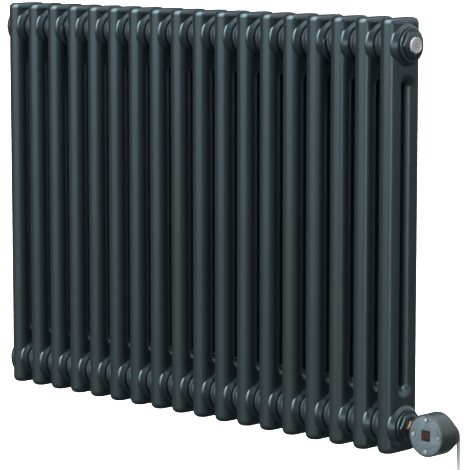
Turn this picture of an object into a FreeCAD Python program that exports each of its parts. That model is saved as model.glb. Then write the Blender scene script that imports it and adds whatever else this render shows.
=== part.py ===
import FreeCAD, Part
import os
import re

import Sketcher

# Electric column radiator: welded two-column steel sections in a row, an air vent in the upper
# right hub, and a thermostatic heating-element controller in the lower right hub.
# The origin is on the wall plane, in the middle of the bracket fixings: X runs along the row,
# -Y comes out into the room and Z is up. Lengths are in millimetres.

Vector = FreeCAD.Vector
document = FreeCAD.newDocument("Radiator")

# ---------------------------------------------------------------- driving dimensions

DIMENSIONS = [
    ("sections", 18, "sections in the row"),
    ("pitch", 45, "from one section to the next"),
    ("height", 600, "height of a section"),
    ("tube", 14.2, "outside radius of the column tubes"),
    ("spread", 36.5, "between the front and rear tube of a section"),
    ("wall", 1.5, "sheet thickness of tubes and headers"),
    ("header", 100, "height of a pressed header, up to its weld"),
    ("arch", 94, "centre of the rounded end of the gap between the tubes"),
    ("round", 14.15, "rounding of a header's upright edges and of its gap"),
    ("endround", 8, "rounding of a header's end"),
    ("hub", 37, "height of the hub axis above the header's end"),
    ("hubroot", 31.5, "largest radius of the hub"),
    ("hubflare", 9.2, "from the section's middle to where the hub gets its largest radius"),
    ("hubedge", 12.2, "from the section's middle to where the shoulder's slope starts"),
    ("hubbrow", 24.6, "radius at the end of the shoulder's slope"),
    ("hubthroat", 24, "radius of the hub at the section's middle"),
    ("hubround", 3, "rounding at both ends of the shoulder's slope"),
    ("hubend", 18.5, "from the section's middle to the flat end of the shoulder"),
    ("neck", 22, "radius of the neck that carries the joint"),
    ("neckend", 21.6, "from the section's middle to the end of its neck"),
    ("thread", 17, "radius of the hub's thread"),
    ("nipplebore", 13.5, "inside radius of a nipple"),
    ("nipple", 30, "length of a nipple"),
    ("gap", 0.1, "clearance of pieces that are put together by hand"),
    ("ringbore", 17.8, "inside radius of a hub's flat gasket"),
    ("ringedge", 21.2, "outside radius of a hub's flat gasket"),
    ("standoff", 67.5, "from the wall to the middle of the sections"),
    ("flange", 23.7, "radius of a bush's flange"),
    ("flat", 17.5, "half the size across the flats of a bush"),
    ("bushend", 26.2, "from the section's middle to the front of a bush"),
    ("outlet", 10.4, "radius of the half-inch thread in a bush"),
    ("vent", 10.8, "radius of the vent's disc"),
    ("ventend", 30.8, "from the section's middle to the face of the vent"),
    ("element", 5.5, "radius of the heating rod"),
    ("elementlength", 420, "length of the heating rod"),
    ("stem", 8.2, "radius of the brass stem"),
    ("brassflat", 9.4, "half the size across the flats of the brass head"),
    ("brasshex", 3.4, "length of the brass head's hexagon"),
    ("headmiddle", 76.1, "from the end section's middle to the controller's axis"),
    ("headradius", 29.5, "radius of the controller"),
    ("facey", 28.5, "from the hub axis forward to the controller's face"),
    ("coney", 1.35, "from the hub axis back to where the controller narrows"),
    ("reary", 28.8, "from the hub axis back to the controller's rear"),
    ("rearradius", 14, "radius of the controller's rear face"),
    ("reardrop", 6.8, "from the controller's axis down to its rear face's middle"),
    ("shell", 2, "wall thickness of the controller's housing"),
    ("facia", 27.2, "radius of the fascia"),
    ("window", 7.4, "half the side of the display window"),
    ("buttonring", 22, "from the face's middle to a button's middle"),
    ("button", 4, "radius of a button"),
    ("cable", 2.75, "radius of the cable"),
    ("exitdrop", 8, "from the controller's axis down to where the cable leaves"),
    ("boot", 4, "radius of the cable's strain relief"),
    ("lead", 2.6, "how far the strain relief goes straight back before it turns"),
    ("elbow", 11, "radius of the strain relief's turn"),
    ("tip", 2, "length of the strain relief's tapered tip"),
    ("hanktop", 75, "from the controller's axis down to the hank of spare cable"),
    ("hankheight", 111, "height of the hank"),
    ("hankdepth", 36.3, "depth of the hank, with its turns side by side"),
    ("hankwidth", 20, "half the width of the hank's end loops"),
    ("hankeye", 30, "height of an end loop's wide part"),
    ("waist", 7, "half the width of the hank at its tie"),
    ("tail", 26, "length of cable between the hank and the plug"),
    ("bracketspan", 540, "between the left and right brackets"),
    ("fixing", 45, "from a hub axis to the nearest bracket hole"),
    ("fixingpitch", 40, "between the two holes of an upper bracket"),
    ("hole", 3.5, "radius of a bracket hole"),
    ("plate", 3, "thickness of a bracket plate"),
    ("arm", 5, "thickness of a bracket arm"),
    ("liner", 1.5, "thickness of a bracket's plastic liner"),
]

sizes = document.addObject("Spreadsheet::Sheet", "Sizes")
for row, (alias, value, meaning) in enumerate(DIMENSIONS, start=1):
    sizes.set(f"A{row}", meaning)
    sizes.set(f"B{row}", str(value))
    sizes.setAlias(f"B{row}", alias)
document.recompute()


# ---------------------------------------------------------------- helpers

def formula(text):
    """Turns plain words such as pitch / 2 into the names of the sheet's cells."""
    return re.sub(r"\b([a-z]+)\b(?!\()", r"Sizes.\1", str(text))


def number(text):
    """The present value of a formula."""
    return float(sizes.evalExpression(formula(text)))


def bind(thing, **formulas):
    """Binds properties to formulas, such as Radius="tube"."""
    for name, text in formulas.items():
        thing.setExpression(name, formula(text))


def place(thing, x="0", y="0", z="0"):
    """Binds where a thing stands."""
    for axis, text in zip("xyz", (x, y, z)):
        thing.setExpression(f"Placement.Base.{axis}", formula(text))
    return thing


TURNS = {
    "z": FreeCAD.Rotation(),
    "x": FreeCAD.Rotation(Vector(0, 0, 1), Vector(1, 0, 0)),
    "y": FreeCAD.Rotation(Vector(0, 0, 1), Vector(0, 1, 0)),
    "-y": FreeCAD.Rotation(Vector(0, 0, 1), Vector(0, -1, 0)),
    "-z": FreeCAD.Rotation(Vector(1, 0, 0), 180),
}


def primitive(kind, axis, where, **formulas):
    """A Part primitive that points along an axis, with its start at a place."""
    thing = document.addObject(kind, kind.split("::")[1])
    thing.Placement = FreeCAD.Placement(Vector(), TURNS[axis])
    bind(thing, **formulas)
    return place(thing, *where)


def cylinder(radius, length, axis="z", where=("0", "0", "0")):
    return primitive("Part::Cylinder", axis, where, Radius=radius, Height=length)


def cone(start, end, length, axis="z", where=("0", "0", "0")):
    return primitive(
        "Part::Cone", axis, where, Radius1=start, Radius2=end, Height=length
    )


def box(width, depth, rise, where):
    """A box whose middle is at a place."""
    x, y, z = where
    corner = (f"{x} - ({width}) / 2", f"{y} - ({depth}) / 2", f"{z} - ({rise}) / 2")
    return primitive(
        "Part::Box", "z", corner, Length=width, Width=depth, Height=rise
    )


def fuse(*shapes):
    thing = document.addObject("Part::MultiFuse", "Fusion")
    thing.Shapes = list(shapes)
    thing.Refine = True
    return thing


def cut(base, *tools):
    thing = document.addObject("Part::Cut", "Cut")
    thing.Base = base
    thing.Tool = tools[0] if len(tools) == 1 else fuse(*tools)
    return thing


def common(one, other):
    thing = document.addObject("Part::MultiCommon", "Common")
    thing.Shapes = [one, other]
    return thing


def group(*shapes):
    """Separate solids that share one node."""
    thing = document.addObject("Part::Compound", "Group")
    thing.Links = list(shapes)
    return thing


def copy_at(shape, x="0", y="0", z="0"):
    """The same piece once more, at another place."""
    return place(group(shape), x, y, z)


def mirrored(shape, normal):
    thing = document.addObject("Part::Mirroring", "Mirrored")
    thing.Source = shape
    thing.Normal = normal
    return thing


def plane_of(body, role):
    return next(f for f in body.Origin.OriginFeatures if f.Role == role)


def sketch_in(body, role, offset="0"):
    """A sketch on one of a body's own planes, moved along that plane's normal."""
    sketch = body.newObject("Sketcher::SketchObject", "Sketch")
    sketch.AttachmentSupport = [(plane_of(body, role), "")]
    sketch.MapMode = "FlatFace"
    sketch.setExpression("AttachmentOffset.Base.z", formula(offset))
    return sketch


def pin(sketch, direction, line, text):
    """Holds the start of a line at a distance from the sketch's origin."""
    if number(text) == 0:
        axis = -2 if direction == "DistanceX" else -1
        sketch.addConstraint(Sketcher.Constraint("PointOnObject", line, 1, axis))
        return
    made = sketch.addConstraint(
        Sketcher.Constraint(direction, -1, 1, line, 1, number(text))
    )
    sketch.setExpression(f"Constraints[{made}]", formula(text))


def outline(sketch, corners):
    """A closed outline of straight lines through corners given as formulas."""
    spots = [Vector(number(across), number(up), 0) for across, up in corners]
    lines = [
        sketch.addGeometry(Part.LineSegment(start, end))
        for start, end in zip(spots, spots[1:] + spots[:1])
    ]
    for line, following in zip(lines, lines[1:] + lines[:1]):
        sketch.addConstraint(Sketcher.Constraint("Coincident", line, 2, following, 1))
    for line, (across, up) in zip(lines, corners):
        pin(sketch, "DistanceX", line, across)
        pin(sketch, "DistanceY", line, up)
    return sketch


def circle(sketch, radius, across="0", up="0"):
    """A circle whose middle and radius are formulas."""
    middle = Vector(number(across), number(up), 0)
    made = sketch.addGeometry(Part.Circle(middle, Vector(0, 0, 1), number(radius)))
    for direction, text in (("DistanceX", across), ("DistanceY", up)):
        if number(text) == 0:
            axis = -2 if direction == "DistanceX" else -1
            sketch.addConstraint(Sketcher.Constraint("PointOnObject", made, 3, axis))
        else:
            held = sketch.addConstraint(
                Sketcher.Constraint(direction, -1, 1, made, 3, number(text))
            )
            sketch.setExpression(f"Constraints[{held}]", formula(text))
    size = sketch.addConstraint(Sketcher.Constraint("Radius", made, number(radius)))
    sketch.setExpression(f"Constraints[{size}]", formula(radius))
    return sketch


def new_body(name):
    return document.addObject("PartDesign::Body", name)


def pad(body, sketch, length):
    """Pads a sketch to both sides of its plane."""
    feature = body.newObject("PartDesign::Pad", "Pad")
    feature.Profile = sketch
    feature.Midplane = True
    bind(feature, Length=length)
    return feature


def pocket(body, sketch):
    """Cuts a sketch right through, to both sides."""
    feature = body.newObject("PartDesign::Pocket", "Pocket")
    feature.Profile = sketch
    feature.Type = "ThroughAll"
    feature.Midplane = True
    return feature


def revolve(body, corners, role="XZ_Plane", axis="H_Axis"):
    """A turned piece: an outline in the body's own plane, spun about an axis."""
    sketch = outline(sketch_in(body, role), corners)
    feature = body.newObject("PartDesign::Revolution", "Revolution")
    feature.Profile = sketch
    feature.ReferenceAxis = (sketch, [axis])
    feature.Angle = 360
    return feature


def fillet(body, base, radius, chosen):
    """Rounds the edges of a feature that a test picks."""
    document.recompute()
    names = [f"Edge{n}" for n, edge in enumerate(base.Shape.Edges, 1) if chosen(edge)]
    feature = body.newObject("PartDesign::Fillet", "Fillet")
    feature.Base = (base, names)
    bind(feature, Radius=radius)
    return feature


def near(value, other):
    return abs(value - other) < 0.001


def is_ring(edge, radius):
    """Whether an edge is a full circle of a radius."""
    closed = isinstance(edge.Curve, Part.Circle) and edge.isClosed()
    return closed and near(edge.Curve.Radius, number(radius))


PIECES = {}


def piece(name, thing):
    """Names a finished sub-part: the label is also the name of its file."""
    thing.Label = name
    PIECES[name] = thing
    return thing


# ---------------------------------------------------------------- welded sections

END = "(sections - 1) * pitch / 2"
LOWER = "hub - height / 2"
UPPER = "height / 2 - hub"
MIDDLE = "-standoff"


def header_form(name, inset):
    """A header's rounded form; an inset by the sheet's thickness makes its hollow."""
    body = new_body(name)
    side = f"spread / 2 + tube - {inset}"
    face = f"tube - {inset}"
    top = f"header + {inset}"
    form = outline(
        sketch_in(body, "YZ_Plane"),
        [(f"-({side})", inset), (side, inset), (side, top), (f"-({side})", top)],
    )
    block = pad(body, form, f"2 * ({face})")
    upright = fillet(
        body,
        block,
        f"round - {inset}",
        lambda edge: near(edge.BoundBox.ZLength, number("header")),
    )
    fillet(
        body,
        upright,
        f"endround - {inset}",
        lambda edge: near(edge.BoundBox.ZMax, number(inset)),
    )
    half = f"spread / 2 - tube + {inset}"
    gap = outline(
        sketch_in(body, "YZ_Plane"),
        [(f"-({half})", "arch"), (half, "arch"), (half, top), (f"-({half})", top)],
    )
    pocket(body, gap)
    document.recompute()
    arch = pocket(body, circle(sketch_in(body, "YZ_Plane"), half, up="arch"))
    fillet(
        body,
        arch,
        f"round - {inset}",
        lambda edge: near(abs(edge.BoundBox.XMin), number(face))
        and near(edge.BoundBox.XLength, 0)
        and max(abs(edge.BoundBox.YMin), edge.BoundBox.YMax) < number(half) + 0.1,
    )
    document.recompute()
    return body


def lower_header():
    """A pressed header with its hub, hollow, and open to both tubes."""
    body = header_form("HeaderSkin", "0")
    hub = new_body("HubSkin")
    turned = revolve(
        hub,
        [
            ("-neckend", "0"),
            ("neckend", "0"),
            ("neckend", "neck"),
            ("hubend", "neck"),
            ("hubend", "hubbrow"),
            ("hubedge", "hubroot"),
            ("hubflare", "hubroot"),
            ("0", "hubthroat"),
            ("-hubflare", "hubroot"),
            ("-hubedge", "hubroot"),
            ("-hubend", "hubbrow"),
            ("-hubend", "neck"),
            ("-neckend", "neck"),
        ],
    )
    fillet(
        hub,
        turned,
        "hubround",
        lambda edge: is_ring(edge, "hubbrow")
        or is_ring(edge, "hubroot")
        and near(abs(edge.BoundBox.Center.x), number("hubedge")),
    )
    place(hub, z="hub")
    hollow = header_form("HeaderHollow", "wall")
    bore = cylinder("thread", "2 * neckend + 2", "x", ("-neckend - 1", "0", "hub"))
    return cut(fuse(body, hub), fuse(hollow, bore))


def column_tube(side):
    """A column tube between the two headers, in front or behind."""
    body = new_body("Tube")
    sketch = circle(circle(sketch_in(body, "XY_Plane"), "tube"), "tube - wall")
    pad(body, sketch, "height - 2 * header")
    return place(body, y=f"{side} * spread / 2", z="height / 2")


header_below = lower_header()
header_above = mirrored(header_below, Vector(0, 0, 1))
header_above.setExpression("Base.z", formula("height / 2"))
section = group(header_below, header_above, column_tube(-1), column_tube(1))

for index in range(int(number("sections"))):
    piece(
        f"section_{index + 1:02d}",
        copy_at(section, f"{index} * pitch - {END}", MIDDLE, "-height / 2"),
    )


def row_of_rings(name, inner, outer, length, z):
    """One ring at every joint between two sections."""
    body = new_body(name)
    body.AllowCompound = True
    sketch = sketch_in(body, "YZ_Plane")
    ring = pad(body, circle(circle(sketch, outer), inner), length)
    row = body.newObject("PartDesign::LinearPattern", "Row")
    row.Originals = [ring]
    row.Direction = (plane_of(body, "X_Axis"), [""])
    bind(row, Length="(sections - 2) * pitch", Occurrences="sections - 1")
    body.Tip = row
    return piece(name, place(body, f"pitch / 2 - {END}", MIDDLE, z))


for level, z in (("lower", LOWER), ("upper", UPPER)):
    row_of_rings(f"{level}_nipples", "nipplebore", "thread", "nipple", z)
    row_of_rings(
        f"{level}_joint_gaskets",
        "thread + gap",
        "neck + 0.6",
        "pitch - 2 * neckend",
        z,
    )


# ---------------------------------------------------------------- hub ends

def reducing_bush():
    """The bush in an end hub: a thread, a flange with a skirt, and a hexagon."""
    body = new_body("BushTurning")
    turned = revolve(
        body,
        [
            ("neckend - 14", "outlet"),
            ("bushend - 3.2", "outlet"),
            ("bushend - 3.2", "flange"),
            ("hubend + 1.6", "flange"),
            ("hubend + 1.6", "neck + 2 * gap"),
            ("neckend + 0.8", "neck + 2 * gap"),
            ("neckend + 0.8", "thread"),
            ("neckend - 14", "thread"),
        ],
    )
    fillet(body, turned, "0.5", lambda edge: is_ring(edge, "flange"))
    hexagon = primitive(
        "Part::Prism",
        "x",
        ("bushend - 3.6", "0", "0"),
        Height="3.6",
        Circumradius="flat / cos(30)",
    )
    hexagon.Polygon = 6
    hexagon.Placement.Rotation = TURNS["x"] * FreeCAD.Rotation(Vector(0, 0, 1), 90)
    crown = cone("flat + 6.9", "flat", "4", "x", ("bushend - 4", "0", "0"))
    bore = cylinder("outlet", "6", "x", ("bushend - 5", "0", "0"))
    return fuse(body, cut(common(hexagon, crown), bore))


bush = reducing_bush()
flat_ring = cut(
    cylinder("ringedge", "0.8", "x", ("neckend", "0", "0")),
    cylinder("ringbore", "2.8", "x", ("neckend - 1", "0", "0")),
)
for level, z in (("lower", LOWER), ("upper", UPPER)):
    piece(f"{level}_bush", copy_at(bush, END, MIDDLE, z))
piece(
    "bush_gaskets",
    group(*[copy_at(flat_ring, END, MIDDLE, z) for z in (LOWER, UPPER)]),
)


def blanking_plug():
    """The plug in a left hub: a thread, a thin flange, and a hexagon socket."""
    body = new_body("PlugTurning")
    turned = revolve(
        body,
        [
            ("12 - neckend", "0"),
            ("12 - neckend", "thread"),
            ("-neckend - 0.8", "thread"),
            ("-neckend - 0.8", "neck"),
            ("-neckend - 2.2", "neck"),
            ("-neckend - 2.2", "0"),
        ],
    )
    fillet(body, turned, "0.5", lambda edge: is_ring(edge, "neck"))
    socket = primitive(
        "Part::Prism",
        "x",
        ("-neckend - 4", "0", "0"),
        Height="12",
        Circumradius="6 / cos(30)",
    )
    socket.Polygon = 6
    return cut(body, socket)


left_plug = blanking_plug()
left_ring = mirrored(flat_ring, Vector(1, 0, 0))
for level, z in (("lower", LOWER), ("upper", UPPER)):
    piece(f"{level}_blanking_plug", copy_at(left_plug, f"-({END})", MIDDLE, z))
piece(
    "blanking_plug_gaskets",
    group(*[copy_at(left_ring, f"-({END})", MIDDLE, z) for z in (LOWER, UPPER)]),
)


# ---------------------------------------------------------------- air vent

def vent_body():
    """A knurled disc on a threaded shank, with a bore for the spindle."""
    disc = cylinder("vent", "4.2", "x", ("ventend - 4.2", "0", "0"))
    shank = cylinder("outlet", "13", "x", ("bushend - 12", "0", "0"))
    seat = cylinder("3", "20", "x", ("bushend - 9", "0", "0"))
    return cut(fuse(disc, shank), seat)


def vent_spindle():
    """The bleed screw: a plain shaft with a square end for the key."""
    shaft = cylinder("2.95", "10", "x", ("bushend - 8", "0", "0"))
    square = box("3.2", "3.4", "3.4", ("bushend + 3.4", "0", "0"))
    return fuse(shaft, square)


vent_seal = cut(
    cylinder("outlet + 0.4", "0.4", "x", ("bushend", "0", "0")),
    cylinder("outlet - 0.4", "2.4", "x", ("bushend - 1", "0", "0")),
)
piece("vent_body", copy_at(cut(vent_body(), vent_seal), END, MIDDLE, UPPER))
piece("vent_seal", copy_at(vent_seal, END, MIDDLE, UPPER))
piece("vent_spindle", copy_at(vent_spindle(), END, MIDDLE, UPPER))


# ---------------------------------------------------------------- heating element

HEAD_X = f"{END} + headmiddle"
SOCKET = "headmiddle - headradius"

rod = new_body("RodTurning")
rod_turning = revolve(
    rod,
    [
        ("bushend + 2 - elementlength", "0"),
        ("bushend + 2", "0"),
        ("bushend + 2", "element"),
        ("bushend + 2 - elementlength", "element"),
    ],
)
fillet(rod, rod_turning, "element - 0.5", lambda e: near(e.BoundBox.XMax, number(
    "bushend + 2 - elementlength")))
piece("heating_rod", copy_at(rod, END, MIDDLE, LOWER))


def element_head():
    """The element's brass head: a thread, a hexagon and the stem to the controller."""
    seat = "bushend + 0.8"
    thread = cylinder("outlet", "14", "x", ("bushend - 14", "0", "0"))
    hexagon = primitive(
        "Part::Prism",
        "x",
        (seat, "0", "0"),
        Height="brasshex",
        Circumradius="brassflat / cos(30)",
    )
    hexagon.Polygon = 6
    hexagon.Placement.Rotation = TURNS["x"] * FreeCAD.Rotation(Vector(0, 0, 1), 90)
    crown = cone("brassflat + brasshex", "brassflat", "brasshex", "x", (seat, "0", "0"))
    length = f"{SOCKET} + 6 - bushend"
    stem = cylinder("stem", length, "x", ("bushend", "0", "0"))
    bore = cylinder("element", f"{length} + 20", "x", ("bushend - 18", "0", "0"))
    return cut(fuse(thread, common(hexagon, crown), stem), bore)


element_seal = cut(
    cylinder("outlet + 1", "0.8", "x", ("bushend", "0", "0")),
    cylinder("stem + gap", "2.8", "x", ("bushend - 1", "0", "0")),
)
piece("element_head", copy_at(cut(element_head(), element_seal), END, MIDDLE, LOWER))
piece("element_seal", copy_at(element_seal, END, MIDDLE, LOWER))


# ---------------------------------------------------------------- controller

# Every piece of the controller is made about its own axis, with Y from the hub axis,
# and then moved to the head's place.

def head_piece(name, shape):
    return piece(name, copy_at(shape, HEAD_X, MIDDLE, LOWER))


def barrel_to_rear(body, barrel, rear, start, end):
    """A slanted cone from a ring about the controller's axis to a smaller, lower one."""
    loft = body.newObject("PartDesign::AdditiveLoft", "Loft")
    loft.Profile = circle(sketch_in(body, "XZ_Plane", f"-({start})"), barrel)
    loft.Sections = [
        circle(sketch_in(body, "XZ_Plane", f"-({end})"), rear, up="-reardrop")
    ]
    loft.Ruled = True
    return loft


def housing_skin():
    """The housing's outside: a barrel that narrows to a low, small rear end."""
    body = new_body("HousingSkin")
    middle = sketch_in(body, "XZ_Plane", "(facey - coney) / 2")
    pad(body, circle(middle, "headradius"), "facey + coney")
    document.recompute()
    skin = barrel_to_rear(body, "headradius", "rearradius", "coney", "reary")
    rim = fillet(
        body,
        skin,
        "1",
        lambda edge: is_ring(edge, "headradius")
        and near(edge.BoundBox.YMin, -number("facey")),
    )
    fillet(body, rim, "2.5", lambda edge: near(edge.BoundBox.YMin, number("reary")))
    return body


def housing_hollow():
    """The housing's inside, stepped where the fascia and the board sit."""
    body = new_body("HousingHollow")
    inside = "headradius - 2 * shell"
    revolve(
        body,
        [
            ("0", "-facey - 1"),
            ("facia + 0.3", "-facey - 1"),
            ("facia + 0.3", "-15.4"),
            (inside, "-15.4"),
            (inside, "coney - 1"),
            ("0", "coney - 1"),
        ],
        "XY_Plane",
        "V_Axis",
    )
    document.recompute()
    barrel_to_rear(body, inside, "rearradius - shell", "coney - 1", "reary - shell")
    return body


def housing():
    """The shell, open in front, with holes for the stem and for the cable."""
    entry = cylinder("stem + 1.2", "16", "x", ("-headradius - 4", "0", "0"))
    gland = cylinder("boot + gap", "8", "y", ("0", "reary - 5", "-exitdrop"))
    return cut(housing_skin(), housing_hollow(), entry, gland)


head_piece("controller_housing", housing())

stem_ring = cut(
    cylinder("stem + 1.15", "5", "x", ("-headradius - 0.8", "0", "0")),
    cylinder("stem + 0.05", "7", "x", ("-headradius - 2", "0", "0")),
)
head_piece("stem_seal", stem_ring)

FACE = "-facey + 0.3"
fascia_disc = cylinder("facia", "2.2", "y", ("0", FACE, "0"))
window_hole = box("2 * window + 0.2", "6", "2 * window + 0.2", ("0", FACE, "0"))
BUTTONS = {
    "button_up": ("0", "buttonring"),
    "button_mode": ("-buttonring", "0"),
    "button_down": ("buttonring", "0"),
    "button_power": ("0", "-buttonring"),
}
button_holes = [
    cylinder("button + 0.3", "6", "y", (x, f"{FACE} - 2", z))
    for x, z in BUTTONS.values()
]
head_piece("fascia", cut(fascia_disc, window_hole, *button_holes))
head_piece(
    "display_window",
    box("2 * window", "1.6", "2 * window", ("0", f"{FACE} + 0.8", "0")),
)


def button_cap(x, z):
    """A button: a cap through the fascia, a flange that keeps it in, and a foot."""
    cap = cylinder("button", "3.4", "y", (x, f"{FACE} - 0.8", z))
    flange = cylinder("button + 0.9", "0.9", "y", (x, f"{FACE} + 2.6", z))
    foot = cylinder("1.8", "2.4", "y", (x, f"{FACE} + 3.4", z))
    return fuse(cap, flange, foot)


for name, (x, z) in BUTTONS.items():
    head_piece(name, button_cap(x, z))

BOARD = "-17.2"
head_piece("circuit_board", cylinder("facia - 0.4", "1.6", "y", ("0", BOARD, "0")))
head_piece(
    "display_module",
    box("15", "8.6", "15", ("0", f"{BOARD} - 4.3", "0")),
)


def tact_switch(x, z):
    """A small press switch on the board, its plunger just behind a button's foot."""
    case = box("5.4", "2.6", "5.4", (x, f"{BOARD} - 1.3", z))
    plunger = cylinder("1.5", "1.2", "-y", (x, f"{BOARD} - 2.5", z))
    return fuse(case, plunger)


switches = [tact_switch(f"0.93 * ({x})", f"0.93 * ({z})") for x, z in BUTTONS.values()]
head_piece("tact_switches", group(*switches))
head_piece("power_relay", box("10", "12", "16", ("13", f"{BOARD} + 7.6", "0")))


# ---------------------------------------------------------------- cable and plug

CABLE_Y = f"{MIDDLE} + reary + lead + elbow"
BOOT_END = "exitdrop + elbow + tip"
CABLE_LENGTH = f"hanktop - ({BOOT_END})"


def cable_boot():
    """The strain relief: straight back out of the rear end, then an elbow down."""
    start = cylinder("boot", "lead + 4", "y", ("0", "reary - 4", "-exitdrop"))
    turn = document.addObject("Part::Torus", "Elbow")
    turn.Placement = FreeCAD.Placement(Vector(), FreeCAD.Rotation(Vector(1, 1, 1), 120))
    turn.Angle3 = 90
    bind(turn, Radius1="elbow", Radius2="boot")
    place(turn, "0", "reary + lead", "-exitdrop - elbow")
    end = ("0", "reary + lead + elbow", "-exitdrop - elbow")
    return fuse(start, turn, cone("boot", "cable + 0.7", "tip", "-z", end))


head_piece("cable_boot", cable_boot())

# The cable hangs straight down from the strain relief to the hank: it has no bend.
cable = cylinder("cable", CABLE_LENGTH)
piece("power_cable", place(cable, HEAD_X, CABLE_Y, f"{LOWER} - hanktop"))
print(f"cable: straight, {number(CABLE_LENGTH):.1f} mm, no bends")

HANK_X = f"{HEAD_X} - cable"
HANK_Y = f"{CABLE_Y} + cable - hankdepth / 2"
HANK_Z = f"{LOWER} - hanktop - hankheight / 2"


def hank():
    """The folded hank of spare cable: narrow at the tie, wide at both end loops."""
    body = new_body("Hank")
    half = "hankheight / 2"
    right = [
        ("9", half),
        ("hankwidth", f"{half} - 11"),
        ("hankwidth", f"{half} - hankeye"),
        ("waist", "8"),
        ("waist", "-8"),
        ("hankwidth", f"hankeye - {half}"),
        ("hankwidth", f"11 - {half}"),
        ("9", f"-{half}"),
    ]
    left = [(f"-({across})", up) for across, up in reversed(right)]
    pad(body, outline(sketch_in(body, "XZ_Plane"), right + left), "hankdepth")
    return body


piece("cable_hank", place(hank(), HANK_X, HANK_Y, HANK_Z))


def cable_tie():
    """A flat strap round the hank's waist."""
    outer = box("2 * waist + 2.8", "hankdepth + 2.8", "7", ("0", "0", "0"))
    inner = box("2 * waist + 0.2", "hankdepth + 0.2", "9", ("0", "0", "0"))
    return cut(outer, inner)


piece("cable_tie", copy_at(cable_tie(), HANK_X, HANK_Y, HANK_Z))

TAIL_Y = f"{HANK_Y} - hankdepth / 2 + cable"
TAIL_Z = f"{HANK_Z} - hankheight / 2 - tail"
piece("cable_tail", place(cylinder("cable", "tail"), HEAD_X, TAIL_Y, TAIL_Z))


PIN_PLACES = ("-9.5", "9.5")


def plug_body():
    """A straight two-pin mains plug that hangs with its pins down."""
    body = new_body("PlugBody")
    turned = revolve(
        body,
        [
            ("cable", "0"),
            ("6", "0"),
            ("7.5", "-8"),
            ("12", "-14"),
            ("18.4", "-30"),
            ("18.4", "-44"),
            ("0", "-44"),
            ("0", "-6"),
            ("cable", "-6"),
        ],
        "XZ_Plane",
        "V_Axis",
    )
    fillet(
        body,
        turned,
        "2",
        lambda edge: is_ring(edge, "18.4") and edge.BoundBox.ZMax < -40,
    )
    groove = box("8", "6", "20", ("0", "19.4", "-36"))
    other = box("8", "6", "20", ("0", "-19.4", "-36"))
    pins = [cylinder("2.4", "14", "-z", (x, "0", "-32")) for x in PIN_PLACES]
    return cut(body, groove, other, *pins)


def plug_pins():
    """Two round pins, half a hole pitch from the middle each."""
    return group(*[cylinder("2.4", "31", "z", (x, "0", "-63")) for x in PIN_PLACES])


plug_place = (HEAD_X, TAIL_Y, f"{TAIL_Z} + 6")
piece("plug_body", copy_at(plug_body(), *plug_place))
piece("plug_pins", copy_at(plug_pins(), *plug_place))


# ---------------------------------------------------------------- wall brackets

# Each bracket is made about its hub axis, at a joint between two sections.

CRADLE = "neck + 0.6 + liner"


def half_ring(inner, outer, width, top):
    """The part of a ring round the hub axis that lies below a level."""
    ring = cut(
        cylinder(outer, width, "x", (f"-({width}) / 2", "0", "0")),
        cylinder(inner, f"{width} + 2", "x", (f"-({width}) / 2 - 1", "0", "0")),
    )
    keep = box("20", "90", "40", ("0", "0", f"{top} - 20"))
    return common(ring, keep)


def upper_bracket():
    """A wall plate and an arm whose hook carries the joint from below."""
    place_of_plate = ("0", "standoff - plate / 2", "-fixing - fixingpitch / 2 + 10")
    plate = box("36", "plate", "fixingpitch + 50", place_of_plate)
    arm = box("arm", "standoff - 1", "14", ("0", "(standoff - 1) / 2 + 0.5", "-24.1"))
    clear = cylinder(CRADLE, "20", "x", ("-10", "0", "0"))
    hook = half_ring(CRADLE, f"{CRADLE} + 7", "arm", "4")
    holes = [
        cylinder("hole", "20", "y", ("0", "standoff - 10", level))
        for level in ("-fixing", "-fixing - fixingpitch")
    ]
    return cut(fuse(plate, cut(arm, clear), hook), *holes)


def lower_bracket():
    """A wall plate and a spacer arm whose hollow end steadies the joint from behind."""
    plate = box("36", "plate", "74", ("0", "standoff - plate / 2", "fixing / 2"))
    arm = box("arm", "standoff - 12", "26", ("0", "(standoff + 12) / 2", "0"))
    clear = cylinder(CRADLE, "20", "x", ("-10", "0", "0"))
    hole = cylinder("hole", "20", "y", ("0", "standoff - 10", "fixing"))
    return cut(fuse(plate, cut(arm, clear)), hole)


upper_liner = half_ring("neck + 0.6", CRADLE, "arm + 1", "3")
lower_liner = common(
    cut(
        cylinder(CRADLE, "arm + 1", "x", ("-(arm + 1) / 2", "0", "0")),
        cylinder("neck + 0.6", "20", "x", ("-10", "0", "0")),
    ),
    box("20", "20", "24", ("0", "neck + 0.6", "0")),
)
upper_hook = upper_bracket()
lower_spacer = lower_bracket()
SIDES = {"left": "-bracketspan / 2", "right": "bracketspan / 2"}
for side, x in SIDES.items():
    piece(f"upper_bracket_{side}", copy_at(upper_hook, x, MIDDLE, UPPER))
    piece(f"lower_bracket_{side}", copy_at(lower_spacer, x, MIDDLE, LOWER))
for name, liner, z in (
    ("upper_liners", upper_liner, UPPER),
    ("lower_liners", lower_liner, LOWER),
):
    piece(name, group(*[copy_at(liner, x, MIDDLE, z) for x in SIDES.values()]))


# ---------------------------------------------------------------- checks and files

document.recompute()
for thing in document.Objects:
    if {"Invalid", "Error"} & set(thing.State):
        raise RuntimeError(f"{thing.Label} ({thing.Name}) failed: {thing.State}")
for name, thing in PIECES.items():
    if thing.Shape.isNull() or not thing.Shape.isValid():
        raise RuntimeError(f"{name} has no valid shape")

os.makedirs("parts", exist_ok=True)
for name, thing in PIECES.items():
    thing.Shape.exportStep(f"parts/{name}.step")
    solids = thing.Shape.Solids
    volume = sum(solid.Volume for solid in solids)
    print(f"{name}: {len(solids)} solid(s), {volume / 1000:.2f} cubic centimetres")
print(f"{len(PIECES)} nodes")
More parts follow.
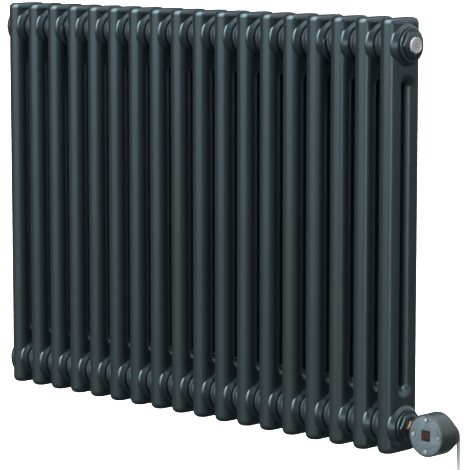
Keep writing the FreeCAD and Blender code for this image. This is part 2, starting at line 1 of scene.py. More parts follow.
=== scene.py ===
# %% [markdown]
# # A column radiator with an electric controller
#
# The radiator is a row of welded steel sections. Each section has two upright tubes between two
# pressed headers, and the sections are screwed together at their hubs. A heating element sits in the
# lower hubs. Its controller, at the right-hand end, has a face with a small display and four buttons,
# and a white mains cable that hangs down.
#
# The engineering model already holds every piece at its true size. This lesson puts a camera, light,
# finishes and fine detail round it. Everything is in metres, with X along the row, Y to the wall and
# Z up. The origin is on the wall, midway between the brackets.

# %% Load the engineering model
import math

import bmesh
import bpy
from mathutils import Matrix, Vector


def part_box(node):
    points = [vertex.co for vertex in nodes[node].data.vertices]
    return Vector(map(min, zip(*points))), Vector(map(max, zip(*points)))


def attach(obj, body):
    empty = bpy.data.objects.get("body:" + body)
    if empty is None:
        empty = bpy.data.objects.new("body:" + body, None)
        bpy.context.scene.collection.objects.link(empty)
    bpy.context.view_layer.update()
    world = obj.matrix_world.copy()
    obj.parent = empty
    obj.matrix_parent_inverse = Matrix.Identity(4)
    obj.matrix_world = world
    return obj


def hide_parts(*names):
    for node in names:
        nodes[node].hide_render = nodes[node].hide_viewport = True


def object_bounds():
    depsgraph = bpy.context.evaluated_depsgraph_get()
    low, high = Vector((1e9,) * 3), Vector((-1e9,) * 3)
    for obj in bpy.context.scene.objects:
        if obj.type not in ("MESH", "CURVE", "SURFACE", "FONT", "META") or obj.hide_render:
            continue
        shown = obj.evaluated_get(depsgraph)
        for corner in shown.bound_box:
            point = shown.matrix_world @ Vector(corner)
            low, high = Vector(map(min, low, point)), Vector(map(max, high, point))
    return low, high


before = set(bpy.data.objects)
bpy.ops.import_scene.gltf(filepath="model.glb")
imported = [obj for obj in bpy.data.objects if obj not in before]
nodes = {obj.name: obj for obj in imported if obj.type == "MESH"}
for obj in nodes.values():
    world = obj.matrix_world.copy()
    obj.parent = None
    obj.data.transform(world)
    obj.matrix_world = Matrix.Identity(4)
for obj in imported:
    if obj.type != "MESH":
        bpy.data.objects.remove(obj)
cad_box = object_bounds()
print(f"{len(nodes)} nodes, from {tuple(cad_box[0])} to {tuple(cad_box[1])}")

# %% [markdown]
# ## Places that the rest is measured from
#
# A node's box gives its lowest and highest corners, so its middle and its ends can be read rather
# than typed.

# %% Read the main places
MM = 0.001


def middle(node):
    """The centre of a node's box."""
    low, high = (Vector(corner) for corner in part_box(node))
    return (low + high) / 2


def len_across(spot, axis):
    """How far a spot is from an axis along X through another spot."""
    return math.hypot(spot.y - axis.y, spot.z - axis.z)


def low_corner(node):
    return Vector(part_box(node)[0])


def high_corner(node):
    return Vector(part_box(node)[1])


row_middle = (middle("section_01") + middle("section_18")) / 2
print("row middle", tuple(row_middle))

# %% [markdown]
# ## Camera
#
# A long lens far from the row keeps the tubes nearly parallel. The camera stands to the right of
# the row, a little above it, and looks at a point just under the row's middle.

# %% Place the camera
CAMERA_AZIMUTH = math.radians(44.14)
CAMERA_HEIGHT = math.radians(7.50)
CAMERA_DISTANCE = 3.649
LENS = 191.57
TARGET_X, TARGET_Z = 0.0709, -0.0263
target = Vector((TARGET_X, row_middle.y, TARGET_Z))
towards_camera = Vector((
    math.sin(CAMERA_AZIMUTH) * math.cos(CAMERA_HEIGHT),
    -math.cos(CAMERA_AZIMUTH) * math.cos(CAMERA_HEIGHT),
    math.sin(CAMERA_HEIGHT),
))
camera_data = bpy.data.cameras.new("Camera")
camera_data.lens = LENS
camera_data.sensor_width = 36.0
camera_data.clip_end = 200.0
camera = bpy.data.objects.new("Camera", camera_data)
bpy.context.collection.objects.link(camera)
camera.location = target + towards_camera * CAMERA_DISTANCE
camera.rotation_mode = "QUATERNION"
camera.rotation_quaternion = (-towards_camera).to_track_quat("-Z", "Y")
bpy.context.scene.camera = camera
print("camera at", tuple(round(value, 3) for value in camera.location))

# %% [markdown]
# ## The mains cable
#
# A cable is one smooth line with a round section, so it is made as a NURBS curve with a bevel. It
# hangs straight down from the strain relief, and the spare length is folded into a hank, as it comes
# from the maker: narrow at the tie and wide at both end loops. The hank's turns are worked out by a
# loop, from the arcs of its outline. The bevel is a unit deep and each point's radius is the cable's,
# so that the curve's own box is no larger than the cable.

# %% Lay out the cable
CABLE_RADIUS = 2.75 * MM
CABLE_X, CABLE_Y = 458.6 * MM, -25.1 * MM
BOOT_TIP = Vector((CABLE_X, CABLE_Y, -284.0 * MM))
HANK_MIDDLE = Vector((CABLE_X - CABLE_RADIUS, CABLE_Y - 1.8 * MM, -393.5 * MM))
HANK_TURNS = 5
TURN_STEP = 5.5 * MM
EYE_RADIUS = 17.5 * MM
EYE_HEIGHT = 36.1 * MM
POINTS_PER_TURN = 24
TAIL_Y = HANK_MIDDLE.y - HANK_TURNS * TURN_STEP - 1.5 * MM


def hank_outline(share):
    """A point of the hank's outline, by the share of the way round from the waist, going down."""
    inner = CABLE_RADIUS
    waist_radius = (EYE_HEIGHT**2 + inner**2 - EYE_RADIUS**2) / (2 * (EYE_RADIUS - inner))
    lean = math.atan2(EYE_HEIGHT, inner + waist_radius)
    waist_length = lean * waist_radius
    eye_length = (math.pi + 2 * lean) * EYE_RADIUS
    half_turn = 2 * waist_length + eye_length
    along = share * 2 * half_turn
    upper = along >= half_turn
    if upper:
        along -= half_turn
    if along < waist_length:
        angle = along / waist_radius
        x = inner + waist_radius * (1 - math.cos(angle))
        z = -waist_radius * math.sin(angle)
    elif along < waist_length + eye_length:
        angle = lean - (along - waist_length) / EYE_RADIUS
        x = EYE_RADIUS * math.cos(angle)
        z = -EYE_HEIGHT + EYE_RADIUS * math.sin(angle)
    else:
        angle = (half_turn - along) / waist_radius
        x = -inner - waist_radius * (1 - math.cos(angle))
        z = -waist_radius * math.sin(angle)
    return (-x, -z) if upper else (x, z)


route = [
    BOOT_TIP,
    Vector((CABLE_X, CABLE_Y, -0.311)),
    Vector((CABLE_X, CABLE_Y, -0.338)),
    Vector((CABLE_X, CABLE_Y - 0.2 * MM, -0.364)),
]
for number in range(HANK_TURNS * POINTS_PER_TURN + 1):
    turn = number / POINTS_PER_TURN
    across, up = hank_outline(turn % 1)
    route.append(HANK_MIDDLE + Vector((across, -TURN_STEP * turn, up)))
route += [
    Vector((CABLE_X, TAIL_Y + 0.2 * MM, -0.415)),
    Vector((CABLE_X, TAIL_Y, -0.440)),
    Vector((CABLE_X, TAIL_Y, -0.458)),
    Vector((CABLE_X, TAIL_Y, -0.475)),
]

cable_curve = bpy.data.curves.new("mains_cable", "CURVE")
cable_curve.dimensions = "3D"
cable_curve.resolution_u = 6
cable_curve.bevel_depth = 1.0
cable_curve.bevel_resolution = 5
cable_curve.use_fill_caps = True
spline = cable_curve.splines.new("NURBS")
spline.points.add(len(route) - 1)
for point, place in zip(spline.points, route):
    point.co = (*place, 1.0)
    point.radius = CABLE_RADIUS
spline.order_u = 3
spline.use_endpoint_u = True
cable = bpy.data.objects.new("mains_cable", cable_curve)
bpy.context.collection.objects.link(cable)


def centreline(curve):
    """The points that a curve's spline follows."""
    plain = curve.copy()
    plain.bevel_depth = 0
    carrier = bpy.data.objects.new("centreline", plain)
    bpy.context.collection.objects.link(carrier)
    bpy.context.view_layer.update()
    line = bpy.data.meshes.new_from_object(carrier)
    points = [vertex.co.copy() for vertex in line.vertices]
    bpy.data.objects.remove(carrier)
    return points


cable_line = centreline(cable_curve)

# %% [markdown]
# ## Floor and light
#
# The radiator is shown as in a studio. The room is white to look at but gives little light, apart
# from a tall soft screen in front, a weaker one behind on the right, a glow overhead and a round key
# lamp above the front. The front screen is narrow enough to keep the gaps between the tubes dark.

# %% Floor
FLOOR_DROP = 0.12
FLOOR_SIZE = 160
bpy.ops.object.select_all(action="DESELECT")
bpy.ops.mesh.primitive_plane_add(size=FLOOR_SIZE, location=(0, 0, cad_box[0].z - FLOOR_DROP))
floor = bpy.context.object
floor.name = "floor"
floor_paint = bpy.data.materials.new("floor")
floor_paint.use_nodes = True
paper = floor_paint.node_tree
paper_seen = paper.nodes["Principled BSDF"]
paper_seen.inputs["Base Color"].default_value = (0.80, 0.80, 0.80, 1)
paper_seen.inputs["Roughness"].default_value = 1.0
paper_seen.inputs["Specular IOR Level"].default_value = 0.0
paper_seen.inputs["Emission Color"].default_value = (1, 1, 1, 1)
paper_seen.inputs["Emission Strength"].default_value = 0.6
paper_dim = paper.nodes.new("ShaderNodeBsdfDiffuse")
paper_dim.inputs["Color"].default_value = (0.05, 0.05, 0.05, 1)
paper_ray = paper.nodes.new("ShaderNodeLightPath")
paper_mix = paper.nodes.new("ShaderNodeMixShader")
paper.links.new(paper_ray.outputs["Is Camera Ray"], paper_mix.inputs["Fac"])
paper.links.new(paper_dim.outputs["BSDF"], paper_mix.inputs[1])
paper.links.new(paper_seen.outputs["BSDF"], paper_mix.inputs[2])
paper.links.new(paper_mix.outputs["Shader"], paper.nodes["Material Output"].inputs["Surface"])
floor.data.materials.append(floor_paint)

# %% Room
world = bpy.data.worlds.new("Studio")
bpy.context.scene.world = world
world.use_nodes = True
room = world.node_tree
room.nodes.clear()


def link_value(tree, value, socket):
    """Puts a number on a socket, or links another socket to it."""
    if isinstance(value, (int, float)):
        socket.default_value = value
    else:
        tree.links.new(value, socket)


def maths(tree, operation, first, second, clamp=False):
    """A math node on two sockets or numbers."""
    node = tree.nodes.new("ShaderNodeMath")
    node.operation = operation
    node.use_clamp = clamp
    link_value(tree, first, node.inputs[0])
    link_value(tree, second, node.inputs[1])
    return node.outputs[0]


def screen(azimuth, from_cosine, to_cosine, strength):
    """The brightness of a soft upright screen round an azimuth, by the direction looked in."""
    turn = math.radians(azimuth)
    dot = room.nodes.new("ShaderNodeVectorMath")
    dot.operation = "DOT_PRODUCT"
    dot.inputs[1].default_value = (math.sin(turn), -math.cos(turn), 0)
    room.links.new(level_way, dot.inputs[0])
    return soft_step(dot.outputs["Value"], from_cosine, to_cosine, strength)


def soft_step(value, low, high, strength):
    """Rises smoothly from 0 at low to strength at high."""
    step = room.nodes.new("ShaderNodeMapRange")
    step.interpolation_type = "SMOOTHSTEP"
    room.links.new(value, step.inputs["Value"])
    step.inputs["From Min"].default_value = low
    step.inputs["From Max"].default_value = high
    step.inputs["To Max"].default_value = strength
    return step.outputs["Result"]


way = room.nodes.new("ShaderNodeTexCoord").outputs["Generated"]
parts = room.nodes.new("ShaderNodeSeparateXYZ")
room.links.new(way, parts.inputs["Vector"])
flat = room.nodes.new("ShaderNodeVectorMath")
flat.operation = "MULTIPLY"
flat.inputs[1].default_value = (1, 1, 0)
room.links.new(way, flat.inputs[0])
level = room.nodes.new("ShaderNodeVectorMath")
level.operation = "NORMALIZE"
room.links.new(flat.outputs["Vector"], level.inputs[0])
level_way = level.outputs["Vector"]


def spot(azimuth, elevation, width, strength):
    """The brightness of a soft round lamp in one direction of the room."""
    turn, rise = math.radians(azimuth), math.radians(elevation)
    dot = room.nodes.new("ShaderNodeVectorMath")
    dot.operation = "DOT_PRODUCT"
    dot.inputs[1].default_value = (
        math.sin(turn) * math.cos(rise),
        -math.cos(turn) * math.cos(rise),
        math.sin(rise),
    )
    room.links.new(way, dot.inputs[0])
    inner, outer = math.cos(math.radians(width / 2)), math.cos(math.radians(width))
    return soft_step(dot.outputs["Value"], outer, inner, strength)


ROOM_GLOW = 0.01
front_low = screen(azimuth=-2, from_cosine=0.766, to_cosine=0.819, strength=3.0)
front_rise = soft_step(parts.outputs["Z"], low=0.05, high=0.50, strength=0.5)
front = maths(room, "MULTIPLY", front_low, maths(room, "ADD", front_rise, 1.0))
side = screen(azimuth=140, from_cosine=0.30, to_cosine=0.60, strength=1.10)
overhead = soft_step(parts.outputs["Z"], low=0.60, high=0.90, strength=1.0)
key = spot(azimuth=-5, elevation=50, width=38, strength=4.5)
glow = ROOM_GLOW
for part in (front, side, overhead, key):
    glow = maths(room, "ADD", part, glow)
lit = room.nodes.new("ShaderNodeBackground")
lit.inputs["Color"].default_value = (0.95, 0.98, 1.0, 1)
room.links.new(glow, lit.inputs["Strength"])
white = room.nodes.new("ShaderNodeBackground")
white.inputs["Color"].default_value = (1, 1, 1, 1)
seen = room.nodes.new("ShaderNodeLightPath")
either = room.nodes.new("ShaderNodeMixShader")
out = room.nodes.new("ShaderNodeOutputWorld")
room.links.new(seen.outputs["Is Camera Ray"], either.inputs["Fac"])
room.links.new(lit.outputs["Background"], either.inputs[1])
room.links.new(white.outputs["Background"], either.inputs[2])
room.links.new(either.outputs["Shader"], out.inputs["Surface"])

# %% [markdown]
# ## Strip lamp
#
# A narrow strip with a small spread puts one upright highlight on the last section only.

# %% Strip lamp


def lamp(name, aim, azimuth, elevation, distance, size, power):
    """A soft rectangular lamp that looks at a point."""
    data = bpy.data.lights.new(name, "AREA")
    data.shape = "RECTANGLE"
    data.size, data.size_y = size
    data.energy = power
    thing = bpy.data.objects.new(name, data)
    bpy.context.collection.objects.link(thing)
    turn, rise = math.radians(azimuth), math.radians(elevation)
    way = Vector((
        math.sin(turn) * math.cos(rise),
        -math.cos(turn) * math.cos(rise),
        math.sin(rise),
    ))
    thing.location = aim + way * distance
    thing.rotation_mode = "QUATERNION"
    thing.rotation_quaternion = way.to_track_quat("Z", "Y")
    thing.visible_camera = False
    return thing


end_middle = middle("section_18")
end_strip = lamp(
    "end_strip",
    end_middle,
    azimuth=51,
    elevation=0,
    distance=0.50,
    size=(0.16, 0.9),
    power=0.055,
)
end_strip.data.spread = math.radians(16)

# %% [markdown]
# ## Shared effect
#
# One small node group is used by every finish. It puts out a colour, a roughness and a height that
# change over the surface; the shader itself stays in each material.

# %% Node helpers


def new_group(name, inputs, outputs):
    """An empty shader group with named inputs, given with their values, and outputs."""
    group = bpy.data.node_groups.new(name, "ShaderNodeTree")
    for label, kind, value in inputs:
        socket = group.interface.new_socket(label, in_out="INPUT", socket_type=kind)
        socket.default_value = value
    for label, kind in outputs:
        group.interface.new_socket(label, in_out="OUTPUT", socket_type=kind)
    entry = group.nodes.new("NodeGroupInput")
    leave = group.nodes.new("NodeGroupOutput")
    return group, entry, leave


def noise(tree, scale, detail=2.0):
    """A noise texture on object coordinates, at a scale from the tree or a number."""
    place = tree.nodes.new("ShaderNodeTexCoord")
    texture = tree.nodes.new("ShaderNodeTexNoise")
    texture.inputs["Detail"].default_value = detail
    tree.links.new(place.outputs["Object"], texture.inputs["Vector"])
    if isinstance(scale, (int, float)):
        texture.inputs["Scale"].default_value = scale
    else:
        tree.links.new(scale, texture.inputs["Scale"])
    return texture


# %% Group: the waviness and tint of a sprayed coat
coat_group, entry, leave = new_group(
    "sprayed coat",
    [
        ("Colour", "NodeSocketColor", (0.05, 0.05, 0.05, 1)),
        ("Second colour", "NodeSocketColor", (0.06, 0.06, 0.06, 1)),
        ("Grain size", "NodeSocketFloat", 900.0),
        ("Roughness", "NodeSocketFloat", 0.4),
        ("Roughness spread", "NodeSocketFloat", 0.06),
    ],
    [
        ("Colour", "NodeSocketColor"),
        ("Roughness", "NodeSocketFloat"),
        ("Height", "NodeSocketFloat"),
    ],
)
peel = noise(coat_group, entry.outputs["Grain size"], 3.0)
drift = noise(coat_group, 9.0, 4.0)
tint = coat_group.nodes.new("ShaderNodeMix")
tint.data_type = "RGBA"
coat_group.links.new(drift.outputs["Fac"], tint.inputs["Factor"])
coat_group.links.new(entry.outputs["Colour"], tint.inputs["A"])
coat_group.links.new(entry.outputs["Second colour"], tint.inputs["B"])
coat_group.links.new(tint.outputs["Result"], leave.inputs["Colour"])
shift = maths(coat_group, "SUBTRACT", drift.outputs["Fac"], 0.5)
swing = maths(coat_group, "MULTIPLY", shift, entry.outputs["Roughness spread"])
total = maths(coat_group, "ADD", entry.outputs["Roughness"], swing, clamp=True)
coat_group.links.new(total, leave.inputs["Roughness"])
coat_group.links.new(peel.outputs["Fac"], leave.inputs["Height"])

# %% [markdown]
# ## Finishes
#
# A finish is one Principled shader whose colour, roughness and fine relief come from the sprayed-coat
# group with that finish's own values.

# %% Build a finish


def finish(name, colour, second, roughness, grain, bump, metallic=0.0, specular=0.5, swing=0.06):
    """A material with a slightly uneven colour, roughness and relief."""
    material = bpy.data.materials.new(name)
    material.use_nodes = True
    tree = material.node_tree
    shader = tree.nodes["Principled BSDF"]
    coat = tree.nodes.new("ShaderNodeGroup")
    coat.node_tree = coat_group
    coat.inputs["Colour"].default_value = (*colour, 1)
    coat.inputs["Second colour"].default_value = (*second, 1)
    coat.inputs["Grain size"].default_value = grain
    coat.inputs["Roughness"].default_value = roughness
    coat.inputs["Roughness spread"].default_value = swing
    relief = tree.nodes.new("ShaderNodeBump")
    relief.inputs["Strength"].default_value = bump
    relief.inputs["Distance"].default_value = 0.1 * MM
    tree.links.new(coat.outputs["Colour"], shader.inputs["Base Color"])
    tree.links.new(coat.outputs["Roughness"], shader.inputs["Roughness"])
    tree.links.new(coat.outputs["Height"], relief.inputs["Height"])
    tree.links.new(relief.outputs["Normal"], shader.inputs["Normal"])
    shader.inputs["Metallic"].default_value = metallic
    shader.inputs["Specular IOR Level"].default_value = specular
    return material


paint = finish(
    "anthracite_satin", (0.046, 0.066, 0.073), (0.050, 0.071, 0.078), 0.32, 700, 0.12, metallic=0.8
)
fascia_paint = finish("fascia_grey", (0.073, 0.098, 0.108), (0.079, 0.104, 0.114), 0.38, 1500, 0.10)
head_paint = finish("controller_grey", (0.022, 0.032, 0.036), (0.025, 0.035, 0.039), 0.36, 1500, 0.12)
steel = finish("zinc_steel", (0.55, 0.56, 0.57), (0.62, 0.62, 0.62), 0.38, 600, 0.15, metallic=1.0)
chrome = finish("satin_chrome", (0.40, 0.41, 0.41), (0.44, 0.45, 0.45), 0.40, 900, 0.05, metallic=0.35)
brass = finish("brass", (0.25, 0.17, 0.12), (0.29, 0.20, 0.14), 0.34, 500, 0.10, metallic=1.0)
rubber = finish("black_rubber", (0.012, 0.012, 0.013), (0.018, 0.018, 0.019), 0.75, 1200, 0.3)
plastic = finish("black_plastic", (0.018, 0.019, 0.020), (0.024, 0.025, 0.026), 0.45, 1600, 0.15)
window = finish("dark_window", (0.016, 0.010, 0.010), (0.020, 0.012, 0.012), 0.10, 300, 0.02)
button = finish("button_grey", (0.080, 0.105, 0.115), (0.086, 0.111, 0.121), 0.42, 1800, 0.10)
sign_paint = finish("sign_print", (0.30, 0.33, 0.34), (0.33, 0.36, 0.37), 0.50, 1800, 0.05)
digit_glow = finish("digit_red", (0.060, 0.012, 0.010), (0.070, 0.014, 0.012), 0.35, 1200, 0.02)
board = finish("green_board", (0.01, 0.10, 0.03), (0.02, 0.14, 0.05), 0.35, 800, 0.1)
relay = finish("relay_blue", (0.02, 0.08, 0.35), (0.03, 0.10, 0.38), 0.35, 900, 0.1)
white_pvc = finish("white_pvc", (0.66, 0.66, 0.66), (0.70, 0.70, 0.70), 0.42, 1400, 0.10)
liner = finish("grey_liner", (0.35, 0.35, 0.36), (0.38, 0.38, 0.39), 0.5, 1300, 0.15)

FINISH_OF_SLOT = {
    "anthracite_paint": paint,
    "zinc_steel": steel,
    "black_rubber": rubber,
    "chrome": chrome,
    "brass": brass,
    "element_steel": steel,
    "dark_plastic": head_paint,
    "grey_fascia": fascia_paint,
    "dark_window": window,
    "button_plastic": button,
    "green_board": board,
    "black_plastic": plastic,
    "relay_blue": relay,
    "white_cable": white_pvc,
    "white_plug": white_pvc,
    "nickel_pins": chrome,
    "bracket_paint": paint,
    "grey_liner": liner,
}

# %% Give the engineering pieces their finishes
for thing in nodes.values():
    for slot in thing.material_slots:
        slot.material = FINISH_OF_SLOT[slot.material.name.split(".")[0]]
nodes["vent_spindle"].material_slots[0].material = chrome
print("finishes given to", len(nodes), "nodes")

# %% [markdown]
# ## Helpers for modelling by hand
#
# Each detail piece starts as a primitive at its own size and place. Its place is put into the mesh at
# once, so that everything done in edit mode is in the radiator's own metres. Faces are chosen by their
# middle and their normal.

# %% Modelling helpers


def take(thing):
    """Makes a piece the only one selected and the active one."""
    if bpy.context.mode != "OBJECT":
        bpy.ops.object.mode_set(mode="OBJECT")
    bpy.ops.object.select_all(action="DESELECT")
    thing.select_set(True)
    bpy.context.view_layer.objects.active = thing


def open_up(thing):
    """Puts a new primitive's place in its mesh and enters edit mode with nothing selected."""
    take(thing)
    bpy.ops.object.transform_apply(location=True, rotation=True, scale=True)
    bpy.ops.object.mode_set(mode="EDIT")
    bpy.ops.mesh.select_mode(type="FACE")
    bpy.ops.mesh.select_all(action="DESELECT")


def pick_faces(thing, test):
    """In edit mode, selects only the faces whose middle and normal pass a test."""
    bpy.ops.mesh.select_all(action="DESELECT")
    shape = bmesh.from_edit_mesh(thing.data)
    for face in shape.faces:
        if test(face.calc_center_median(), face.normal):
            face.select_set(True)
    bmesh.update_edit_mesh(thing.data)


def hand_over(thing, name, body, material, smooth_angle=35):
    """Names a finished piece, shades it, gives it its finish and rides it on its body."""
    take(thing)
    bpy.ops.object.shade_smooth_by_angle(angle=math.radians(smooth_angle))
    thing.name = name
    thing.data.name = name
    thing.data.materials.clear()
    thing.data.materials.append(material)
    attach(thing, body)
    print(name, len(thing.data.polygons), "faces")


# %% [markdown]
# ## Air vent
#
# The vent is a small turned disc with a knurled edge. Its rim is a ring of narrow faces, each pushed
# out on its own, and its face is stepped inwards to the bore where the bleed screw sits.

# %% Model the vent's disc
VENT_FACE_X = high_corner("vent_body").x
VENT_RADIUS = (high_corner("vent_body").z - low_corner("vent_body").z) / 2
VENT_THICKNESS = 4.2 * MM
KNURL = 0.45 * MM
vent_middle = middle("vent_body")
bpy.ops.mesh.primitive_cylinder_add(
    vertices=44,
    radius=VENT_RADIUS - KNURL,
    depth=VENT_THICKNESS,
    location=(VENT_FACE_X - VENT_THICKNESS / 2, vent_middle.y, vent_middle.z),
    rotation=(0, math.pi / 2, 0),
)
vent = bpy.context.object
open_up(vent)
pick_faces(vent, lambda at, normal: abs(normal.x) < 0.5)
bpy.ops.mesh.inset(thickness=0.25 * MM, depth=KNURL, use_individual=True)
VENT_STEPS = ((1.0, 0.0), (0.35, -0.5), (5.8, 0.0), (0.15, -2.2))
ON_AXIS = 0.1 * MM
for inwards, height in VENT_STEPS:
    pick_faces(vent, lambda at, normal: normal.x > 0.9 and len_across(at, vent_middle) < ON_AXIS)
    bpy.ops.mesh.inset(thickness=inwards * MM, depth=height * MM)
pick_faces(vent, lambda at, normal: normal.x < -0.9 and len_across(at, vent_middle) < ON_AXIS)
bpy.ops.mesh.inset(thickness=0.5 * MM, depth=0)
bpy.ops.mesh.extrude_region_move(TRANSFORM_OT_translate={"value": (-6 * MM, 0, 0)})
hand_over(vent, "vent_disc", "radiator", chrome)
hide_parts("vent_body")

# %% [markdown]
# ## Signs on the buttons
#
# Each button carries a small raised sign: plus, ring, minus and a bar in a ring. They are generic. A
# sign rides on its button, so that it goes in with it. One fault is known: the plus comes out as a
# filled square, because each arm's step also picks the ends and sides of the arms made before it.

# %% Model the signs
SIGN_RISE = 0.12 * MM
SIGN_WIDTH = 0.55 * MM
SIGN_ARM = 1.45 * MM
RING_RADIUS = 1.9 * MM


def button_face(node):
    """The middle of a button's front face."""
    centre = middle(node)
    centre.y = low_corner(node).y
    return centre


def bar_sign(centre, ways):
    """A small raised sign with an arm in each of the given ways."""
    size = (SIGN_WIDTH, 2 * SIGN_RISE, SIGN_WIDTH)
    bpy.ops.mesh.primitive_cube_add(size=1, location=centre, scale=size)
    thing = bpy.context.object
    open_up(thing)
    for arm in ways:
        pick_faces(thing, lambda at, normal: normal.dot(arm) > 0.9)
        bpy.ops.mesh.extrude_region_move(TRANSFORM_OT_translate={"value": arm * SIGN_ARM})
    pick_faces(thing, lambda at, normal: normal.y < -0.9)
    bpy.ops.mesh.inset(thickness=0.08 * MM, depth=0.05 * MM)
    return thing


def ring_sign(centre, radius):
    """A small raised ring."""
    bpy.ops.mesh.primitive_torus_add(
        location=centre,
        rotation=(math.pi / 2, 0, 0),
        major_segments=40,
        minor_segments=8,
        major_radius=radius,
        minor_radius=SIGN_WIDTH / 2,
    )
    thing = bpy.context.object
    open_up(thing)
    bpy.ops.mesh.select_all(action="SELECT")
    flatten = 2 * SIGN_RISE / SIGN_WIDTH
    bpy.ops.transform.resize(value=(1, flatten, 1), center_override=centre)
    return thing


def join(first, second):
    """Makes two pieces one."""
    take(first)
    second.select_set(True)
    bpy.ops.object.join()
    return first


LEFT, RIGHT = Vector((-1, 0, 0)), Vector((1, 0, 0))
UPWARDS, DOWN = Vector((0, 0, 1)), Vector((0, 0, -1))
plus = bar_sign(button_face("button_up"), (LEFT, RIGHT, UPWARDS, DOWN))
hand_over(plus, "sign_plus", "up_button", sign_paint)
minus = bar_sign(button_face("button_down"), (LEFT, RIGHT))
hand_over(minus, "sign_minus", "down_button", sign_paint)
ring = ring_sign(button_face("button_mode"), RING_RADIUS)
hand_over(ring, "sign_ring", "mode_button", sign_paint)
power_face = button_face("button_power")
power_ring = ring_sign(power_face, RING_RADIUS)
take(power_ring)
power = join(power_ring, bar_sign(power_face + Vector((0, 0, 0.5 * MM)), (UPWARDS, DOWN)))
hand_over(power, "sign_power", "power_button", sign_paint)

# %% [markdown]
# ## Digits of the display
#
# The display shows two plain seven-bar digits, dim red behind dark glass. Every bar is the same small
# piece; a loop puts the bars that a digit needs in their places.

# %% Model the digits
DIGIT_WIDTH = 3.2 * MM
DIGIT_HEIGHT = 6.8 * MM
BAR = 0.7 * MM
DIGIT_GAP = 5.6 * MM
BARS = {
    "top": (0, 1, True),
    "upper_right": (1, 0.5, False),
    "lower_right": (1, -0.5, False),
    "bottom": (0, -1, True),
    "lower_left": (-1, -0.5, False),
    "upper_left": (-1, 0.5, False),
    "centre": (0, 0, True),
}
DIGITS = {
    "2": ("top", "upper_right", "centre", "lower_left", "bottom"),
    "0": ("top", "upper_right", "lower_right", "bottom", "lower_left", "upper_left"),
}
glass_middle = middle("display_window")
glass_middle.y = low_corner("display_window").y


def digit_bar(centre, level):
    """One bar of a digit, with bevelled edges."""
    long = (DIGIT_WIDTH if level else DIGIT_HEIGHT / 2) - BAR * 0.5
    size = (long, 0.08 * MM, BAR) if level else (BAR, 0.08 * MM, long)
    bpy.ops.mesh.primitive_cube_add(size=1, location=centre, scale=size)
    thing = bpy.context.object
    open_up(thing)
    pick_faces(thing, lambda at, normal: normal.y < -0.9)
    bpy.ops.mesh.inset(thickness=0.12 * MM, depth=0.03 * MM)
    return thing


digits = None
for place, figure in ((-0.5, "2"), (0.5, "0")):
    for bar_name in DIGITS[figure]:
        across, up, level = BARS[bar_name]
        at = glass_middle + Vector((
            place * DIGIT_GAP + across * DIGIT_WIDTH / 2,
            0,
            up * DIGIT_HEIGHT / 2,
        ))
        made = digit_bar(at, level)
        digits = join(digits, made) if digits else made
hand_over(digits, "display_digits", "radiator", digit_glow)

# %% [markdown]
# ## Strain relief
#
# A moulded strain relief is a bent, tapering sleeve with ribs. It starts as a short cylinder whose end
# face is drawn on round the elbow, step by step, wider and narrower in turn.

# %% Model the strain relief
BOOT_RADIUS = 4.0 * MM
BOOT_RIBS = 7
ELBOW_RADIUS = 11.0 * MM
boot_box_low, boot_box_high = low_corner("cable_boot"), high_corner("cable_boot")
boot_start = Vector((CABLE_X, boot_box_low.y, boot_box_high.z - BOOT_RADIUS))
elbow_start_y = CABLE_Y - ELBOW_RADIUS
elbow_centre = Vector((CABLE_X, elbow_start_y, boot_start.z - ELBOW_RADIUS))
boot_length = elbow_start_y - boot_start.y
bpy.ops.mesh.primitive_cylinder_add(
    vertices=32,
    radius=BOOT_RADIUS,
    depth=boot_length,
    location=boot_start + Vector((0, boot_length / 2, 0)),
    rotation=(math.pi / 2, 0, 0),
)
boot = bpy.context.object
open_up(boot)
pick_faces(boot, lambda at, normal: normal.y > 0.9)
along = 0.0
STEP = 1 / (4 * BOOT_RIBS)


def boot_spot(share):
    """The sleeve's middle line round the elbow."""
    angle = share * math.pi / 2
    return elbow_centre + ELBOW_RADIUS * Vector((0, math.sin(angle), math.cos(angle)))


def draw_on(share_step, factor):
    """Extrudes the end face round the elbow by a share of it, and resizes it."""
    global along
    bpy.ops.mesh.extrude_region_move(TRANSFORM_OT_translate={"value": (0, 0, 0)})
    if share_step:
        bpy.ops.transform.rotate(
            value=share_step * math.pi / 2,
            orient_axis="X",
            center_override=elbow_centre,
        )
        along += share_step
    bpy.ops.transform.resize(value=(factor, factor, factor), center_override=boot_spot(along))


GROOVE = 0.88
TAPER = 0.978
for rib in range(BOOT_RIBS):
    draw_on(2 * STEP, TAPER)
    draw_on(0, GROOVE)
    draw_on(2 * STEP, 1)
    draw_on(0, 1 / GROOVE)
bpy.ops.mesh.extrude_region_move(TRANSFORM_OT_translate={"value": (0, 0, -2 * MM)})
bpy.ops.transform.resize(value=(0.95, 0.95, 0.95), center_override=BOOT_TIP)
hand_over(boot, "strain_relief", "radiator", white_pvc, 40)
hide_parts("cable_boot")

# %% [markdown]
# ## Softened edges
#
# No moulded, cast or cut edge is truly sharp. These pieces keep their engineering shape, so a copy of
# each is merged and gets a narrow bevel that catches the light.

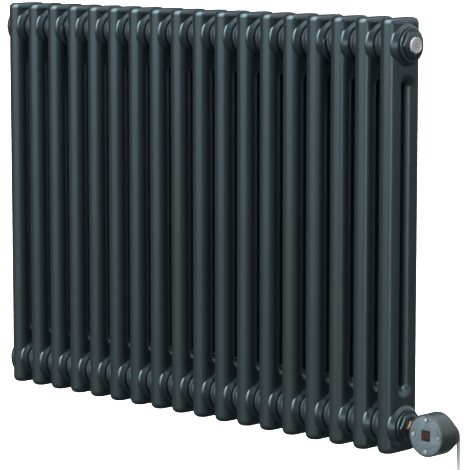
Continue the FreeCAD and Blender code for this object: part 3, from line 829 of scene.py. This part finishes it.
# %% Soften edges
SOFT_EDGES = {
    "fascia": ("fascia_plate", 0.25, "grey_fascia", fascia_paint),
    "controller_housing": ("housing_shell", 0.35, "dark_plastic", head_paint),
    "upper_bush": ("upper_bush_turned", 0.35, "anthracite_paint", paint),
    "lower_bush": ("lower_bush_turned", 0.35, "anthracite_paint", paint),
    "element_head": ("brass_head", 0.30, "brass", brass),
    "plug_body": ("plug_moulding", 0.60, "white_plug", white_pvc),
    "cable_tie": ("tie_strap", 0.30, "black_plastic", plastic),
    "upper_bracket_left": ("upper_hook_left", 0.50, "bracket_paint", paint),
    "upper_bracket_right": ("upper_hook_right", 0.50, "bracket_paint", paint),
    "lower_bracket_left": ("lower_spacer_left", 0.50, "bracket_paint", paint),
    "lower_bracket_right": ("lower_spacer_right", 0.50, "bracket_paint", paint),
}
MERGE_DISTANCE = 0.002 * MM
FLAT_WITHIN = math.radians(0.5)
SHARP_FROM = math.radians(40)
for node, (name, width, slot_name, material) in SOFT_EDGES.items():
    copy = bpy.data.objects.new(name, nodes[node].data.copy())
    bpy.context.collection.objects.link(copy)
    take(copy)
    bpy.ops.mesh.customdata_custom_splitnormals_clear()
    bpy.ops.object.mode_set(mode="EDIT")
    bpy.ops.mesh.select_all(action="SELECT")
    bpy.ops.mesh.remove_doubles(threshold=MERGE_DISTANCE)
    bpy.ops.mesh.dissolve_limited(angle_limit=FLAT_WITHIN)
    bpy.ops.object.mode_set(mode="OBJECT")
    bevel = copy.modifiers.new("soft edges", "BEVEL")
    bevel.width = width * MM
    bevel.segments = 2
    bevel.limit_method = "ANGLE"
    bevel.angle_limit = SHARP_FROM
    bpy.ops.object.modifier_apply(modifier=bevel.name)
    hand_over(copy, name, "radiator", material, 30)
    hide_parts(node)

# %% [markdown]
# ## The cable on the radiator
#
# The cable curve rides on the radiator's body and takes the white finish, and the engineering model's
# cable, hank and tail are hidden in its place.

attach(cable, "radiator")
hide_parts("power_cable", "cable_hank", "cable_tail")
cable.data.materials.append(white_pvc)

# %% [markdown]
# ## Colours as they are
#
# The plain view transform keeps the finishes at the brightness that they were given.

# %% Finish
bpy.context.scene.view_settings.view_transform = "Standard"
